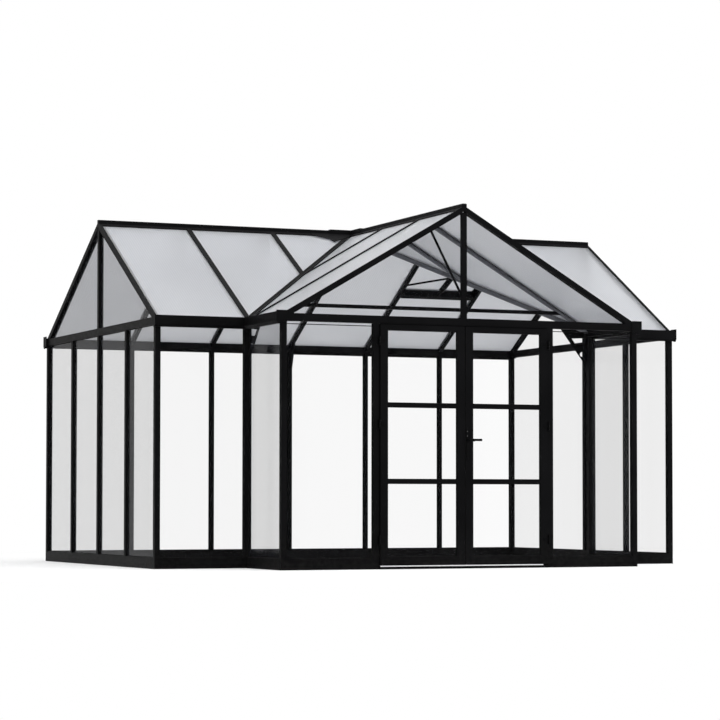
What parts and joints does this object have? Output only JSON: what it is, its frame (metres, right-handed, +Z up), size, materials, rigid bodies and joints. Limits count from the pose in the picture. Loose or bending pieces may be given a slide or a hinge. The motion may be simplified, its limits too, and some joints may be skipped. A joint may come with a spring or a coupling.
{
  "type": "greenhouse",
  "caption": "T-shaped greenhouse: a gabled hall with a gabled porch, clear glazed walls, glazed double door with lever handle, translucent roof, eave gutters and roof vents.",
  "frame": {"origin": "on the ground, at the middle of the greenhouse's box in plan, door handle and gutter ends included", "axes": "+X along the front to the right as seen from outside the porch, +Y from the porch to the back wall, +Z up"},
  "size_m": [4.456, 3.801, 2.768],
  "materials": {
    "frame_metal": "satin black powder coat on aluminium",
    "base_metal": "satin black powder coat on folded steel",
    "gutter_metal": "satin black powder coat on aluminium",
    "handle_metal": "semi-gloss black coat with bright screws",
    "hinge_metal": "satin black coat",
    "clear_glazing": "clear glossy acrylic sheet",
    "roof_sheet": "translucent twin-wall polycarbonate with fine ribs down the slope"
  },
  "bodies": {
    "root": {"base_rails_main": "base_metal", "base_rails_porch": "base_metal", "collar_tie": "frame_metal", "corner_posts": "frame_metal", "door_jambs": "frame_metal", "door_threshold": "base_metal", "glass_back": "clear_glazing", "glass_front": "clear_glazing", "glass_gables": "clear_glazing", "glass_sides": "clear_glazing", "gutter_back": "gutter_metal", "gutter_end_caps": "gutter_metal", "gutters_front": "gutter_metal", "hinges_jamb": "hinge_metal", "inner_posts": "frame_metal", "king_posts": "frame_metal", "knee_plates": "frame_metal", "main_ridge": "frame_metal", "mullions_back": "frame_metal", "mullions_sides": "frame_metal", "porch_front_beam": "frame_metal", "porch_ridge": "frame_metal", "rafters_back": "frame_metal", "rafters_front": "frame_metal", "rakes_front": "frame_metal", "rakes_sides": "frame_metal", "ridge_flashing": "gutter_metal", "roof_sheets_back": "roof_sheet", "roof_sheets_front": "roof_sheet", "roof_sheets_porch": "roof_sheet", "roof_vent_frames": "frame_metal", "roof_vent_panels": "roof_sheet", "roof_vent_sills": "frame_metal", "roof_vent_stays": "frame_metal", "side_beams": "frame_metal", "valleys": "frame_metal"},
    "door_left": {"door_left_glass": "clear_glazing", "door_left_rails": "frame_metal", "door_left_stiles": "frame_metal", "hinges_left": "hinge_metal"},
    "door_right": {"door_right_glass": "clear_glazing", "door_right_rails": "frame_metal", "door_right_stiles": "frame_metal", "handle_plates": "handle_metal", "hinges_right": "hinge_metal"},
    "lever": {"handle_lever": "handle_metal"}
  },
  "joints": [
    {"name": "door_left_hinge", "type": "hinge", "parent": "root", "child": "door_left", "pos_m": [-0.703, -1.851, 0], "axis": [0, 0, -1], "range_deg": [0, 110]},
    {"name": "door_right_hinge", "type": "hinge", "parent": "root", "child": "door_right", "pos_m": [0.703, -1.851, 0], "axis": [0, 0, 1], "range_deg": [0, 110]},
    {"name": "lever_turn", "type": "hinge", "parent": "door_right", "child": "lever", "pos_m": [0.017, -1.8445, 0.968], "axis": [0, 1, 0], "range_deg": [0, 40], "stiffness_Nm_per_rad": 1.5, "springref_deg": -20.05}
  ]
}
